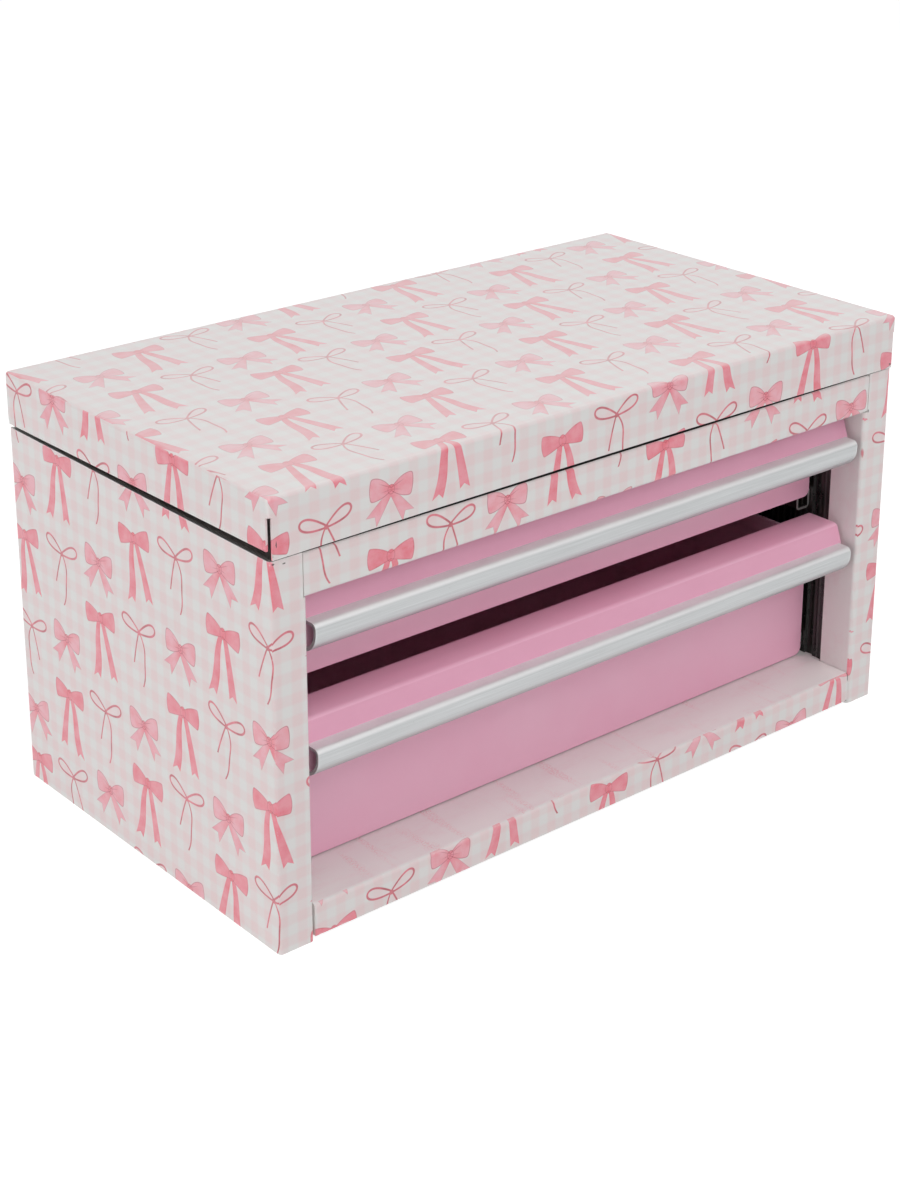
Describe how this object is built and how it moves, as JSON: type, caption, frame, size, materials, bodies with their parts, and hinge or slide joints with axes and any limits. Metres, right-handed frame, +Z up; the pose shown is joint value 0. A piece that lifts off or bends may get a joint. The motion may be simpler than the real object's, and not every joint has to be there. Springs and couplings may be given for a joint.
{
  "type": "tool chest",
  "caption": "Small sheet-steel tool chest with a hinged lid over a shallow till and drawers that slide out of a recessed front on full-width aluminium pulls.",
  "frame": {"origin": "centre of the underside, on the surface that the chest stands on", "axes": "+X to the right along the width as seen from the front, +Y to the back, +Z up"},
  "size_m": [0.3052, 0.167, 0.166],
  "materials": {
    "printed_sheet": "satin printed film, pale gingham ground with pink ribbon bows",
    "plain_sheet": "satin powder coat, pinkish white",
    "pink_enamel": "satin enamel",
    "brushed_aluminium": "brushed along its length",
    "black_steel": "semi-gloss black",
    "plated_steel": "zinc plated"
  },
  "bodies": {
    "case": {"case_shell": "printed_sheet", "top_rail": "printed_sheet", "base_pan": "printed_sheet", "till_floor": "plain_sheet", "case_hinge_leaf": "plated_steel", "hinge_pin": "plated_steel", "left_slide_panel": "black_steel", "right_slide_panel": "black_steel", "lower_left_track": "black_steel", "lower_right_track": "black_steel", "upper_left_track": "black_steel", "upper_right_track": "black_steel"},
    "lid": {"lid_pan": "printed_sheet", "lid_hinge_leaf": "plated_steel"},
    "lower_drawer": {"lower_drawer_tray": "pink_enamel", "lower_drawer_front": "pink_enamel", "lower_pull": "brushed_aluminium", "lower_left_runner": "black_steel", "lower_right_runner": "black_steel"},
    "upper_drawer": {"upper_drawer_tray": "pink_enamel", "upper_drawer_front": "pink_enamel", "upper_pull": "brushed_aluminium", "upper_left_runner": "black_steel", "upper_right_runner": "black_steel"}
  },
  "joints": [
    {"name": "lid_hinge", "type": "hinge", "parent": "case", "child": "lid", "pos_m": [0, 0.0821, 0.1452], "axis": [-1, 0, 0], "range_deg": [0, 100]},
    {"name": "lower_drawer_slide", "type": "slide", "parent": "case", "child": "lower_drawer", "axis": [0, -1, 0], "range_m": [0, 0.1]},
    {"name": "upper_drawer_slide", "type": "slide", "parent": "case", "child": "upper_drawer", "axis": [0, -1, 0], "range_m": [0, 0.1]}
  ]
}
